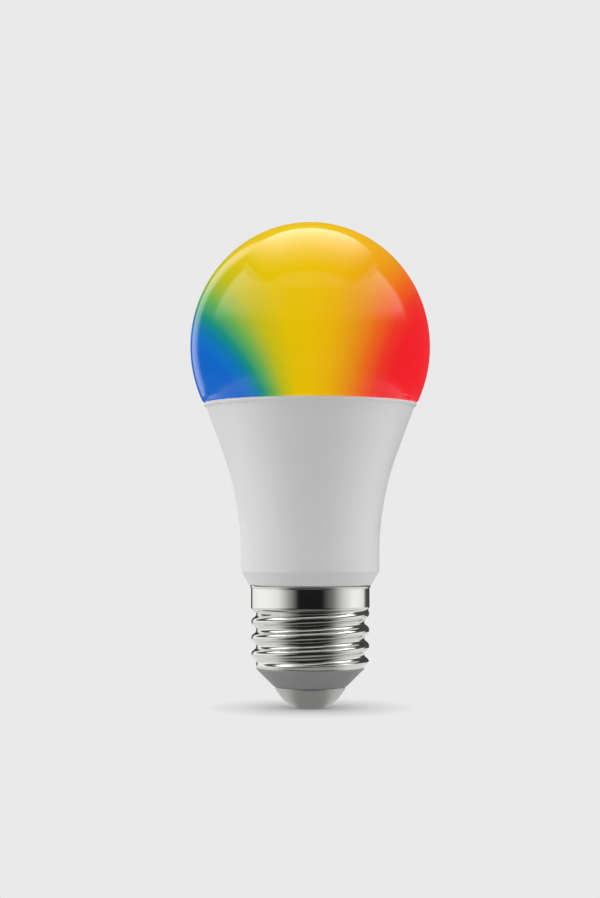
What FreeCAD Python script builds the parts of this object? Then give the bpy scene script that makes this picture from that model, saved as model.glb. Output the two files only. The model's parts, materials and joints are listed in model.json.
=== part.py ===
import FreeCAD, Part
import math
import os

# A screw-base smart LED bulb.  Millimetres, +Z up.  The origin is the middle of the
# centre contact's underside, and the bulb's axis is the Z axis.

V = FreeCAD.Vector
UP = V(0, 0, 1)

# ---- overall sizes ----
BULB_HEIGHT = 109.0
DOME_RADIUS = 27.0
DOME_HALF_HEIGHT = 28.1      # the dome is an ellipse of revolution, this is its upright half axis
DOME_HEIGHT = 40.6           # seam to top
DOME_WALL = 1.2

# ---- screw cap, Edison 27 mm ----
CAP_HEIGHT = 27.4            # contact face to the cap's rolled rim
THREAD_CREST_RADIUS = 13.2
THREAD_DEPTH = 1.1
THREAD_PITCH = 3.629
THREAD_TOP_CREST = 21.0      # height of the highest crest on the +X side
SHEET = 0.3                  # cap sheet thickness
SKIRT_STEP = 0.1             # the plain skirt stands this far proud of the crests
SKIRT_LENGTH = 4.8
SKIRT_TRIM = 0.02            # what turning the plain skirt true takes off its radius
SKIRT_RUN_IN = 0.3           # the true length starts this far above the thread's end
RIM_BEAD = 0.3               # rolled rim: how far it stands out, and its height
RIM_BEAD_HEIGHT = 1.0
SHELL_BOTTOM = 9.0
RUN_OUT = 1.5                # height over which the thread fades at each end
THREAD_STEPS_ROUND = 48
THREAD_STEPS_PER_TURN = 12
CAP_FIT = 0.1                # neck to cap, per side

# ---- insulator and centre contact ----
INSULATOR_FACE = 4.7         # height of the insulator's lower face
INSULATOR_FACE_RADIUS = 8.3
INSULATOR_TOP = 11.0
CONTACT_RADIUS = 7.9
CONTACT_FLAT_RADIUS = 3.8
CONTACT_SHEET = 0.5
PIN_RADIUS = 1.5
PIN_FIT = 0.05
PIN_TOP = 8.6
POCKET_RADIUS = 6.0
POCKET_FLOOR = 7.4

# ---- housing ----
NECK_OVERHANG = 2.2          # housing radius above the cap, beyond the skirt
COLLAR_OVERHANG = 0.45       # lower edge of the tapered collar, beyond the skirt
COLLAR_HEIGHT = 2.6
STRAIGHT_NECK_TOP = 34.3     # where the flare starts
FLARE_SHARE = 0.351          # where the flare's two tangents meet, as a share of its height
HOUSING_WALL = 1.2
LOWER_WALL = 1.9             # below the heat sink, so that its edge has a step to stand on
NECK_WALL = 1.4
RIM_STEP = 0.45              # the dome stands this far proud of the housing rim
SEAM_GAP = 0.2
LEDGE_RISE = 2.0             # board ledge above the cap rim
LEDGE_RADIUS = 12.6
RIB_THICKNESS = 1.2
RIB_DEPTH = 1.6
RIB_FIT = 0.15

# ---- dome plug ----
PLUG_DEPTH = 3.6
PLUG_FIT = 0.12
BEAD_HEIGHT = 0.3            # snap bead standing out of the plug
BEAD_LENGTH = 1.0
BEAD_DROP = 1.3              # bead below the seam

# ---- heat sink and LED board ----
SINK_WALL = 1.0
SINK_FIT = 0.12
SINK_BOTTOM = 37.0
PLATE_THICKNESS = 1.6
SEALANT_THICKNESS = 1.2
PAD_THICKNESS = 0.2
LED_BOARD_THICKNESS = 1.2
LED_BOARD_GAP = 0.8          # board edge to the dome plug
SLOT_CLEARANCE = 0.5
SCREW_RADIUS = 1.25
SCREW_HEAD_RADIUS = 2.3
SCREW_HEAD_HEIGHT = 1.3
SCREW_EDGE = 4.0             # screw centre in from the board edge
LED_EDGE = 4.4               # LED ring in from the board edge
LED_SIZE = (2.8, 3.5, 0.7)
LED_COUNT = 16               # places round the ring; two of them hold the screws
COLOUR_RING_RADIUS = 10.2
COLOUR_LED_SIZE = 3.0
COLOUR_LED_HEIGHT = 1.0
LENS_RADIUS = 1.1
PHOSPHOR_THICKNESS = 0.08
PHOSPHOR_EDGE = 0.35

# ---- driver board ----
BOARD_THICKNESS = 1.2
BOARD_HALF_WIDTH = 12.0
BOARD_BOTTOM = 15.0
BOARD_TOP_GAP = 1.0
TONGUE_FIT = 0.35
SLEEVE = 0.2
WIRE_RADIUS = 0.55

# ---- radio board ----
RADIO_WIDTH = 14.0
RADIO_THICKNESS = 0.8
RADIO_OFFSET = 3.4           # radio board's near face from the bulb's axis
RADIO_RISE = 12.0            # above the LED board
RADIO_DROP = 14.0            # below the heat sink plate
TRACE = 0.7
TRACE_THICKNESS = 0.08

# ---- values worked out from the sizes above ----
SEAM_Z = BULB_HEIGHT - DOME_HEIGHT
DOME_CENTRE = BULB_HEIGHT - DOME_HALF_HEIGHT
RIM_Z = SEAM_Z - SEAM_GAP
THREAD_MEAN = THREAD_CREST_RADIUS - THREAD_DEPTH / 2
THREAD_ROOT = THREAD_CREST_RADIUS - THREAD_DEPTH
SKIRT_RADIUS = THREAD_CREST_RADIUS + SKIRT_STEP
SKIRT_BOTTOM = CAP_HEIGHT - SKIRT_LENGTH
NECK_RADIUS = SKIRT_RADIUS + NECK_OVERHANG
NECK_BORE = THREAD_ROOT - SHEET - CAP_FIT - NECK_WALL
LEDGE_Z = CAP_HEIGHT + LEDGE_RISE


def dome_radius(z, inset=0.0):
    """Radius of the dome's surface at a height, moved in by inset."""
    rise = (z - DOME_CENTRE) / (DOME_HALF_HEIGHT - inset)
    return (DOME_RADIUS - inset) * math.sqrt(1 - rise * rise)


SEAM_RADIUS = dome_radius(SEAM_Z)
RIM_RADIUS = SEAM_RADIUS - RIM_STEP
FLARE_HEIGHT = RIM_Z - STRAIGHT_NECK_TOP
FLARE_TANGENT = FLARE_SHARE * FLARE_HEIGHT
FLARE_ANGLE = math.atan2(RIM_RADIUS - NECK_RADIUS, FLARE_HEIGHT - FLARE_TANGENT)
FLARE_RADIUS = FLARE_TANGENT / math.tan(FLARE_ANGLE / 2)


def arc_top(inset):
    """Height where the flare's arc runs into its straight cone."""
    return STRAIGHT_NECK_TOP + (FLARE_RADIUS + inset) * math.sin(FLARE_ANGLE)


def wall_radius(z, inset):
    """Radius of the housing's outside at a height, moved in by inset."""
    if z <= STRAIGHT_NECK_TOP:
        return NECK_RADIUS - inset
    if z <= arc_top(inset):
        reach = FLARE_RADIUS + inset
        return NECK_RADIUS + FLARE_RADIUS - math.sqrt(reach ** 2 - (z - STRAIGHT_NECK_TOP) ** 2)
    return RIM_RADIUS - inset / math.cos(FLARE_ANGLE) - (RIM_Z - z) * math.tan(FLARE_ANGLE)


PLATE_TOP = SEAM_Z - PLUG_DEPTH - SEALANT_THICKNESS
PLATE_BOTTOM = PLATE_TOP - PLATE_THICKNESS
LED_BOARD_BOTTOM = PLATE_TOP + PAD_THICKNESS
LED_BOARD_TOP = LED_BOARD_BOTTOM + LED_BOARD_THICKNESS
PLUG_BOTTOM = SEAM_Z - PLUG_DEPTH
PLUG_OUTER = wall_radius(PLUG_BOTTOM, HOUSING_WALL) - PLUG_FIT
PLUG_INNER = PLUG_OUTER - DOME_WALL
LED_BOARD_RADIUS = PLUG_INNER - LED_BOARD_GAP
SCREW_RING = LED_BOARD_RADIUS - SCREW_EDGE
LED_RING = LED_BOARD_RADIUS - LED_EDGE
TONGUE_HALF_WIDTH = math.sqrt(NECK_BORE ** 2 - (BOARD_THICKNESS / 2) ** 2) - TONGUE_FIT
BOARD_TOP = PLATE_BOTTOM - BOARD_TOP_GAP
FACE = BOARD_THICKNESS / 2
RADIO_FAR = RADIO_OFFSET + RADIO_THICKNESS
RADIO_BOTTOM = PLATE_BOTTOM - RADIO_DROP
RADIO_TOP = LED_BOARD_TOP + RADIO_RISE


# ---- helpers ----
def save(name, *solids):
    """Write one node: a single solid, or a group of separate solids."""
    shape = solids[0] if len(solids) == 1 else Part.Compound(list(solids))
    shape.exportStep(f"parts/{name}.step")


def outline(start, *steps):
    """Closed wire in the XZ half plane.  A step is a point, or a middle point and an end point of an arc."""
    here = V(start[0], 0, start[1])
    first = here
    edges = []
    for step in steps:
        if isinstance(step, Part.Edge):
            edges.append(step)
            here = step.lastVertex(True).Point
            continue
        if isinstance(step[0], tuple):
            middle, end = (V(p[0], 0, p[1]) for p in step)
            edges.append(Part.Arc(here, middle, end).toShape())
        else:
            end = V(step[0], 0, step[1])
            edges.append(Part.LineSegment(here, end).toShape())
        here = end
    if here.distanceToPoint(first) > 1e-6:
        edges.append(Part.LineSegment(here, first).toShape())
    return Part.Wire(edges)


def turned(start, *steps):
    """Solid of revolution about the bulb's axis."""
    return Part.Face(outline(start, *steps)).revolve(V(0, 0, 0), UP, 360)


def flare(inset, low, high):
    """Steps along the housing's outline moved in by inset, from one height to another."""
    steps = []
    top = arc_top(inset)
    if low < STRAIGHT_NECK_TOP:
        steps.append((NECK_RADIUS - inset, STRAIGHT_NECK_TOP))
    start = max(low, STRAIGHT_NECK_TOP)
    end = min(high, top)
    middle = (start + end) / 2
    steps.append(((wall_radius(middle, inset), middle), (wall_radius(end, inset), end)))
    if high > top:
        steps.append((wall_radius(high, inset), high))
    return steps


def flare_down(inset, low, high):
    """The same steps from the higher end to the lower one."""
    steps = []
    top = arc_top(inset)
    if high > top:
        steps.append((wall_radius(top, inset), top))
    start = max(low, STRAIGHT_NECK_TOP)
    end = min(high, top)
    middle = (start + end) / 2
    steps.append(((wall_radius(middle, inset), middle), (wall_radius(start, inset), start)))
    if low < STRAIGHT_NECK_TOP:
        steps.append((NECK_RADIUS - inset, low))
    return steps


def ellipse_edge(inset, low, to_top):
    """The dome's curve moved in by inset, between a height and the top."""
    a = DOME_RADIUS - inset
    b = DOME_HALF_HEIGHT - inset
    t0 = math.asin((low - DOME_CENTRE) / b)
    count = 24
    angles = [t0 + (math.pi / 2 - t0) * i / count for i in range(count + 1)]
    points = [V(a * math.cos(t), 0, DOME_CENTRE + b * math.sin(t)) for t in angles]
    points[-1].x = 0
    if not to_top:
        points.reverse()
    curve = Part.BSplineCurve()
    curve.interpolate(points)
    return curve.toShape()


def box(x0, x1, y0, y1, z0, z1):
    return Part.makeBox(x1 - x0, y1 - y0, z1 - z0, V(x0, y0, z0))


def block(x, y, z, wide, deep, high):
    """Box centred on x and y, standing on z."""
    return box(x - wide / 2, x + wide / 2, y - deep / 2, y + deep / 2, z, z + high)


def rod(x, y, z, radius, length, way=UP):
    return Part.makeCylinder(radius, length, V(x, y, z), way)


def spun(shape, degrees):
    """Copy of a shape turned about the bulb's axis."""
    copy = shape.copy()
    copy.rotate(V(0, 0, 0), UP, degrees)
    return copy


def tube_path(points, radius):
    """Round tube along straight runs joined by tangent arcs."""
    edges = []
    here = points[0]
    for i in range(1, len(points) - 1):
        into = points[i] - points[i - 1]
        out = points[i + 1] - points[i]
        turn = into.getAngle(out)
        cut = 0.45 * min(into.Length, out.Length)
        into.normalize()
        out.normalize()
        bend_in = points[i] - into * cut
        bend_out = points[i] + out * cut
        towards = out - into
        towards.normalize()
        bend = cut / math.tan(turn / 2)
        middle = points[i] + towards * (bend / math.cos(turn / 2) - bend)
        edges.append(Part.LineSegment(here, bend_in).toShape())
        edges.append(Part.Arc(bend_in, middle, bend_out).toShape())
        here = bend_out
    edges.append(Part.LineSegment(here, points[-1]).toShape())
    path = Part.Wire(edges)
    way = points[1] - points[0]
    circle = Part.Wire(Part.makeCircle(radius, points[0], way))
    tube = path.makePipeShell([circle], True, False)
    print("tube length", round(path.Length, 2), "volume", round(tube.Volume, 3),
          "section x length", round(path.Length * math.pi * radius ** 2, 3))
    return tube


# ---- threads ----
def smooth(t):
    t = min(max(t, 0.0), 1.0)
    return t * t * (3 - 2 * t)


def cap_radius(angle, z):
    """Outer radius of the cap sheet: a rounded right-hand thread that fades out at both ends."""
    row = THREAD_PITCH / THREAD_STEPS_PER_TURN
    keep = (2 + math.cos(2 * math.pi * row / THREAD_PITCH)) / 3
    wave = math.cos(2 * math.pi * (z - THREAD_TOP_CREST) / THREAD_PITCH - angle) / keep
    radius = THREAD_MEAN + THREAD_DEPTH / 2 * wave
    fade_in = smooth((z - SHELL_BOTTOM) / RUN_OUT)
    fade_out = smooth((z - SKIRT_BOTTOM + RUN_OUT) / RUN_OUT)
    radius = THREAD_ROOT + (radius - THREAD_ROOT) * fade_in
    return radius + (SKIRT_RADIUS + SKIRT_TRIM - radius) * fade_out


def rim_bead(z):
    """How far the rolled rim stands out of the skirt at a height."""
    along = (CAP_HEIGHT - z) / RIM_BEAD_HEIGHT
    return RIM_BEAD * math.sin(math.pi * along) ** 2 if along < 1 else 0.0


def thread_face(low, high, inset, bead):
    """Cubic surface once round the axis that follows cap_radius, moved in by inset, with or without bead."""
    count = THREAD_STEPS_ROUND
    spans = max(4, round((high - low) / THREAD_PITCH * THREAD_STEPS_PER_TURN))
    knots = [low + (high - low) * i / spans for i in range(spans + 1)]
    padded = [knots[0]] * 3 + knots + [knots[-1]] * 3
    heights = [sum(padded[i + 1:i + 4]) / 3 for i in range(spans + 3)]
    swell = 3 / (2 + math.cos(2 * math.pi / count))
    poles = []
    for i in range(count):
        angle = 2 * math.pi * i / count
        column = []
        for z in heights:
            r = (cap_radius(angle, z) - inset + (rim_bead(z) if bead else 0)) * swell
            column.append(V(r * math.cos(angle), r * math.sin(angle), z))
        poles.append(column)
    surface = Part.BSplineSurface()
    surface.buildFromPolesMultsKnots(
        poles, [1] * (count + 1), [4] + [1] * (spans - 1) + [4],
        list(range(count + 1)), knots, True, False, 3, 3)
    return surface.toShape()


def end_wire(face, z):
    """The face's closed edge that lies at a height."""
    for edge in face.Edges:
        box_of = edge.BoundBox
        if abs(box_of.ZMin - z) < 1e-4 and abs(box_of.ZMax - z) < 1e-4:
            return Part.Wire(edge)
    raise ValueError("no edge at that height")


def sewn(faces):
    shell = Part.makeShell(faces)
    shell.sewShape()
    solid = Part.makeSolid(shell)
    if solid.Volume < 0:
        solid.reverse()
    return solid


def threaded_tube(low, high, outer_inset, inner_inset):
    """Threaded sheet between two heights, with a thread inside and out."""
    outer = thread_face(low, high, outer_inset, True)
    inner = thread_face(low, high, inner_inset, False)
    rings = []
    for z in (low, high):
        disc = Part.Face(end_wire(outer, z))
        rings.append(disc.cut(Part.Face(end_wire(inner, z))).Faces[0])
    return sewn([outer, inner] + rings)


def threaded_plug(low, high, inset):
    """Solid plug with a threaded outside."""
    outer = thread_face(low, high, inset, False)
    return sewn([outer, Part.Face(end_wire(outer, low)), Part.Face(end_wire(outer, high))])


# ---- the outside pieces ----
def diffuser_dome():
    """Translucent dome with the plug that snaps into the housing's mouth."""
    def plug(z):
        return wall_radius(z, HOUSING_WALL) - PLUG_FIT

    bead = SEAM_Z - BEAD_DROP
    inner_start = SEAM_Z + DOME_WALL
    top_plug = plug(SEAM_Z)
    return turned(
        (PLUG_INNER, PLUG_BOTTOM),
        (dome_radius(inner_start, DOME_WALL), inner_start),
        ellipse_edge(DOME_WALL, inner_start, True),
        (0, BULB_HEIGHT),
        ellipse_edge(0, SEAM_Z, False),
        (top_plug, SEAM_Z),
        (plug(bead), bead),
        (plug(bead - BEAD_LENGTH / 2) + BEAD_HEIGHT, bead - BEAD_LENGTH / 2),
        (plug(bead - BEAD_LENGTH), bead - BEAD_LENGTH),
        (PLUG_OUTER, PLUG_BOTTOM))


def dome_sealant():
    """Ring of sealant between the dome's plug and the heat sink."""
    return turned((PLUG_INNER, PLATE_TOP), (wall_radius(PLATE_TOP, HOUSING_WALL) - PLUG_FIT, PLATE_TOP),
                  (PLUG_OUTER, PLUG_BOTTOM), (PLUG_INNER, PLUG_BOTTOM))


def board_ribs():
    """Two pairs of ribs that guide the driver board's tongue in the neck."""
    ribs = []
    edge = FACE + RIB_FIT
    for side in (-1, 1):
        for face in (-1, 1):
            inner = side * (NECK_BORE - RIB_DEPTH)
            outer = side * (NECK_BORE + NECK_WALL / 2)
            low, high = sorted((face * edge, face * (edge + RIB_THICKNESS)))
            ribs.append(box(min(inner, outer), max(inner, outer), low, high,
                            NEUTRAL_Z + 1.5 * NOTCH_HALF, LEDGE_Z))
    return ribs


def housing_shell():
    """Flared plastic body, tapered collar and the threaded neck that the cap grips."""
    collar_edge = SKIRT_RADIUS + COLLAR_OVERHANG
    collar_top = CAP_HEIGHT + COLLAR_HEIGHT
    fillet = 0.35
    drop = BEAD_DROP - BEAD_LENGTH / 5
    groove_top = SEAM_Z - drop
    groove_low = SEAM_Z - BEAD_DROP - BEAD_LENGTH * 1.2
    groove_mid = (groove_top + groove_low) / 2
    upper = turned(
        (0, CAP_HEIGHT), (SKIRT_RADIUS, CAP_HEIGHT),
        (collar_edge, CAP_HEIGHT + 0.2), (NECK_RADIUS - fillet, collar_top),
        (NECK_RADIUS, collar_top + fillet),
        *flare(0, collar_top + fillet, RIM_Z),
        (wall_radius(RIM_Z, HOUSING_WALL), RIM_Z),
        (wall_radius(groove_top, HOUSING_WALL), groove_top),
        (wall_radius(groove_mid, HOUSING_WALL) + BEAD_HEIGHT + 0.1, groove_mid),
        (wall_radius(groove_low, HOUSING_WALL), groove_low),
        *flare_down(HOUSING_WALL, SINK_BOTTOM, groove_low),
        (wall_radius(SINK_BOTTOM, LOWER_WALL), SINK_BOTTOM),
        (NECK_RADIUS - LOWER_WALL, STRAIGHT_NECK_TOP), (NECK_RADIUS - LOWER_WALL, collar_top + 2),
        (LEDGE_RADIUS, LEDGE_Z), (0, LEDGE_Z))
    neck = threaded_plug(INSULATOR_TOP, CAP_HEIGHT + LEDGE_RISE / 2, SHEET + CAP_FIT)
    bore = rod(0, 0, INSULATOR_TOP - 1, NECK_BORE, LEDGE_Z - INSULATOR_TOP + 2)
    body = upper.fuse(neck).cut(bore).fuse(board_ribs())
    notch = box(-SKIRT_RADIUS, -NECK_BORE + 1, NEUTRAL_Y - NOTCH_HALF, NEUTRAL_Y + NOTCH_HALF,
                INSULATOR_TOP - 1, NEUTRAL_Z + NOTCH_HALF)
    return body.cut(notch)


def cap_shell():
    """Rolled metal sheet with the screw thread, a plain skirt and a rolled rim."""
    low = SKIRT_BOTTOM + SKIRT_RUN_IN
    high = CAP_HEIGHT - RIM_BEAD_HEIGHT
    sheet = threaded_tube(SHELL_BOTTOM, CAP_HEIGHT, 0, SHEET)
    return sheet.cut(turned((SKIRT_RADIUS, low), (SKIRT_RADIUS + SHEET, low),
                            (SKIRT_RADIUS + SHEET, high), (SKIRT_RADIUS, high)))


def cap_insulator():
    """Grey glass-like plastic cone between the thread and the centre contact."""
    seat = THREAD_ROOT
    spigot = THREAD_ROOT - SHEET - PIN_FIT
    hole = PIN_RADIUS + PIN_FIT
    return turned(
        (hole, INSULATOR_FACE), (INSULATOR_FACE_RADIUS, INSULATOR_FACE),
        (INSULATOR_FACE_RADIUS, INSULATOR_FACE + 0.2),
        (seat, SHELL_BOTTOM - 0.3), (seat, SHELL_BOTTOM), (spigot, SHELL_BOTTOM),
        (spigot, INSULATOR_TOP), (POCKET_RADIUS, INSULATOR_TOP),
        (POCKET_RADIUS, POCKET_FLOOR), (hole, POCKET_FLOOR))


def centre_contact():
    """Pressed metal dish with a solid shank that the live wire is joined to."""
    rise = INSULATOR_FACE
    span = CONTACT_RADIUS - CONTACT_FLAT_RADIUS
    bulge = (CONTACT_FLAT_RADIUS + span * 0.62, rise * 0.45)
    t = CONTACT_SHEET
    return turned(
        (0, 0), (CONTACT_FLAT_RADIUS, 0),
        (bulge, (CONTACT_RADIUS, rise)), (CONTACT_RADIUS - t, rise),
        ((bulge[0] - t, bulge[1] + t * 0.6), (CONTACT_FLAT_RADIUS, t)),
        (PIN_RADIUS, t), (PIN_RADIUS, PIN_TOP), (0, PIN_TOP))


# ---- heat sink and LED board ----
def screw_places():
    return [(side * SCREW_RING, 0) for side in (-1, 1)]


def slots(low, high):
    """Cutters for the radio board's slot and for the output pins' slot."""
    c = SLOT_CLEARANCE
    radio = box(-RADIO_WIDTH / 2 - c, RADIO_WIDTH / 2 + c, RADIO_OFFSET - c, RADIO_FAR + c, low, high)
    pins = box(-PIN_ROW / 2 - c, PIN_ROW / 2 + c, PINS_Y - 1 - c, PINS_Y + 1 + c, low, high)
    return [radio, pins]


def pierced(disc, low, high):
    """A disc with the two slots and the screw holes."""
    cutters = slots(low - 1, high + 1)
    cutters += [rod(x, y, low - 1, SCREW_RADIUS, high - low + 2) for x, y in screw_places()]
    for cutter in cutters:
        disc = disc.cut(cutter)
    return disc


def heat_sink():
    """Pressed aluminium cup, mouth down, close inside the housing."""
    out = HOUSING_WALL + SINK_FIT
    inn = out + SINK_WALL
    cup = turned(
        (wall_radius(SINK_BOTTOM, inn), SINK_BOTTOM), (wall_radius(SINK_BOTTOM, out), SINK_BOTTOM),
        *flare(out, SINK_BOTTOM, PLATE_TOP), (0, PLATE_TOP), (0, PLATE_BOTTOM),
        (wall_radius(PLATE_BOTTOM, inn), PLATE_BOTTOM), *flare_down(inn, SINK_BOTTOM, PLATE_BOTTOM))
    return pierced(cup, PLATE_BOTTOM, PLATE_TOP)


def thermal_pad():
    return pierced(rod(0, 0, PLATE_TOP, LED_BOARD_RADIUS, PAD_THICKNESS), PLATE_TOP, LED_BOARD_BOTTOM)


def led_board():
    disc = rod(0, 0, LED_BOARD_BOTTOM, LED_BOARD_RADIUS, LED_BOARD_THICKNESS)
    return pierced(disc, LED_BOARD_BOTTOM, LED_BOARD_TOP)


def board_screws():
    """Two cross-head screws through the board into the heat sink."""
    screws = []
    for x, y in screw_places():
        head = rod(x, y, LED_BOARD_TOP, SCREW_HEAD_RADIUS, SCREW_HEAD_HEIGHT)
        head = head.makeFillet(SCREW_HEAD_HEIGHT * 0.4, [head.Edges[0]])
        deep = LED_BOARD_TOP + SCREW_HEAD_HEIGHT * 0.5
        for wide, long in ((0.5, 2.4), (2.4, 0.5)):
            head = head.cut(block(x, y, deep, wide, long, SCREW_HEAD_HEIGHT))
        shank = rod(x, y, PLATE_BOTTOM - 1.2, SCREW_RADIUS, LED_BOARD_TOP - PLATE_BOTTOM + 1.2)
        screws.append(head.fuse(shank).removeSplitter())
    return screws


def led_places():
    """Angle of each white LED; the places of the two screws are left out."""
    step = 360 / LED_COUNT
    return [i * step for i in range(LED_COUNT) if i % (LED_COUNT // 2)]


def white_leds():
    """Package bodies with a well on top, and the phosphor fill of each kind."""
    wide, long, high = LED_SIZE
    bodies = []
    fills = ([], [])
    for i, angle in enumerate(led_places()):
        body = block(LED_RING, 0, LED_BOARD_TOP, long, wide, high)
        fill_low = LED_BOARD_TOP + high - PHOSPHOR_THICKNESS
        fill = block(LED_RING, 0, fill_low, long - 2 * PHOSPHOR_EDGE, wide - 2 * PHOSPHOR_EDGE,
                     PHOSPHOR_THICKNESS)
        bodies.append(spun(body.cut(fill), angle))
        fills[i % 2].append(spun(fill, angle))
    return bodies, fills[0], fills[1]


def colour_leds():
    """Colour emitters: package bodies, and the clear lenses of each colour."""
    bodies = []
    lenses = ([], [], [])
    for i, angle in enumerate(COLOUR_ANGLES):
        body = block(COLOUR_RING_RADIUS, 0, LED_BOARD_TOP, COLOUR_LED_SIZE, COLOUR_LED_SIZE,
                     COLOUR_LED_HEIGHT)
        top = LED_BOARD_TOP + COLOUR_LED_HEIGHT
        ball = Part.makeSphere(LENS_RADIUS, V(COLOUR_RING_RADIUS, 0, top))
        lens = ball.common(block(COLOUR_RING_RADIUS, 0, top, 4, 4, 4))
        bodies.append(spun(body, angle))
        lenses[i % 3].append(spun(lens, angle))
    return bodies, lenses


def gull_chip(x, y, z, wide, long, high, legs):
    """Chip lying on a board that faces up, with its legs."""
    chip = block(x, y, z + 0.1, wide, long, high)
    reach = 0.9
    for i in range(legs):
        along = y + (i - (legs - 1) / 2) * long / legs
        chip = chip.fuse(block(x, along, z, wide + 2 * reach, 0.4, 0.3))
    return chip.removeSplitter()


def on_board(shape, side, z):
    """Turn a component that stands on z = 0 so that it stands out of one face of the driver board."""
    copy = shape.copy()
    copy.rotate(V(0, 0, 0), V(1, 0, 0), -90 * side)
    copy.translate(V(0, side * FACE, z))
    return copy


# ---- places on the boards ----
NEUTRAL_Y = FACE + WIRE_RADIUS
NEUTRAL_Z = INSULATOR_TOP + 1.1
NOTCH_HALF = 0.9
LIVE_X = 4.6
WIRE_TOP = BOARD_BOTTOM + 3.0
PIN_ROW = 7.6
PINS_Y = -1.4
COLOUR_ANGLES = [215 + 22 * i for i in range(6)]


# ---- driver board ----
def driver_board():
    """Upright board: a narrow tongue in the neck and a wide part above its ledge."""
    low = box(-TONGUE_HALF_WIDTH, TONGUE_HALF_WIDTH, -FACE, FACE, BOARD_BOTTOM, LEDGE_Z)
    high = box(-BOARD_HALF_WIDTH, BOARD_HALF_WIDTH, -FACE, FACE, LEDGE_Z, BOARD_TOP)
    return low.fuse(high).removeSplitter()


def capacitor(x, y, z, radius, height):
    """Electrolytic capacitor: aluminium can with leads, and the printed sleeve round it."""
    can = rod(x, y, z, radius - SLEEVE, height)
    sleeve = rod(x, y, z, radius, height - 0.6)
    sleeve = sleeve.cut(rod(x, y, z, radius - SLEEVE, height))
    return can, sleeve


def lead_to_board(x, y, z):
    """Bent-flat lead from a component out to the board's face."""
    low, high = sorted((y, math.copysign(FACE, y)))
    return box(x - 0.3, x + 0.3, low, high, z - 0.3, z + 0.3)


def axial_part(x, y, z, radius, length):
    """Axial component lying upright beside the board with a lead at each end."""
    body = rod(x, y, z, radius, length)
    body = body.fuse(rod(x, y, z - 0.8, 0.3, length + 1.6))
    for end in (z - 0.5, z + length + 0.5):
        body = body.fuse(lead_to_board(x, y, end))
    return body


def filter_choke():
    x, y, z = -6.2, FACE + 3.4, LEDGE_Z + 4.0
    core = rod(x, y, z, 3.2, 1.2).fuse(rod(x, y, z, 1.6, 8)).fuse(rod(x, y, z + 6.8, 3.2, 1.2))
    core = core.fuse(lead_to_board(x, y, z + 0.6).cut(rod(x, y, z - 1, 0.5, 10)))
    winding = rod(x, y, z + 1.2, 2.9, 5.6).cut(rod(x, y, z, 1.6, 8))
    return core, winding


def transformer():
    """Ferrite core, bobbin and winding, on the far face of the board."""
    z = LEDGE_Z + 9.5
    y_mid = -FACE - 5.0
    wide, deep, high = 11.0, 7.0, 11.0
    ring = block(0, y_mid, z, wide, deep - 1.6, high)
    window = block(0, y_mid, z + 2, wide - 3.4, deep, high - 4)
    post = rod(0, y_mid, z, 1.7, high)
    core = ring.cut(window).fuse(post)
    flange_low = block(0, y_mid, z + 2, wide - 3.6, deep, 0.7)
    flange_high = block(0, y_mid, z + high - 2.7, wide - 3.6, deep, 0.7)
    barrel = rod(0, y_mid, z + 2, 2.3, high - 4)
    bobbin = flange_low.fuse(flange_high).fuse(barrel).cut(rod(0, y_mid, z, 1.7, high))
    foot_low = y_mid + deep / 2
    for level in (z + 2, z + high - 2.7):
        bobbin = bobbin.fuse(box(-3.2, 3.2, foot_low - 0.5, -FACE, level, level + 0.7))
    winding = rod(0, y_mid, z + 2.7, 3.3, high - 5.4).cut(rod(0, y_mid, z, 2.3, high))
    return core, bobbin, winding


def wires():
    """Live wire down to the contact's shank, and neutral wire out to the cap's thread."""
    live = tube_path([V(LIVE_X, NEUTRAL_Y, WIRE_TOP), V(LIVE_X, NEUTRAL_Y, 12.6),
                      V(0, 0, 11.6), V(0, 0, PIN_TOP)], WIRE_RADIUS)
    reach = THREAD_ROOT - SHEET - 0.1
    neutral = tube_path([V(-5.2, NEUTRAL_Y, WIRE_TOP), V(-5.2, NEUTRAL_Y, NEUTRAL_Z),
                         V(-reach, NEUTRAL_Y, NEUTRAL_Z)], WIRE_RADIUS)
    return live, neutral


# ---- radio board ----
def antenna():
    """Meander of copper trace on the radio board's tip, above the LED board."""
    pieces = []
    half = RADIO_WIDTH / 2 - 1.2
    count = 4
    rise = 2 * TRACE
    y0, y1 = RADIO_FAR, RADIO_FAR + TRACE_THICKNESS
    low = RADIO_TOP - 1.0 - count * rise
    for i in range(count):
        z = low + i * rise
        pieces.append(box(-half, half, y0, y1, z, z + TRACE))
        side = half - TRACE if i % 2 == 0 else -half
        if i < count - 1:
            pieces.append(box(side, side + TRACE, y0, y1, z, z + rise + TRACE))
    pieces.append(box(-half, -half + TRACE, y0, y1, low - 3.2, low + TRACE))
    return pieces[0].multiFuse(pieces[1:]).removeSplitter()


def radio_pins():
    """Five pins that carry the radio board on the driver board."""
    level = RADIO_BOTTOM + 1.2
    return [box(x - 0.3, x + 0.3, FACE, RADIO_OFFSET, level, level + 0.6)
            for x in [(i - 2) * 2.0 for i in range(5)]]


def save_outside():
    """The pieces that make the bulb's outside, and what seals the dome."""
    save("diffuser_dome", diffuser_dome())
    save("dome_sealant", dome_sealant())
    save("housing_shell", housing_shell())
    save("cap_shell", cap_shell())
    save("cap_insulator", cap_insulator())
    save("centre_contact", centre_contact())


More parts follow.
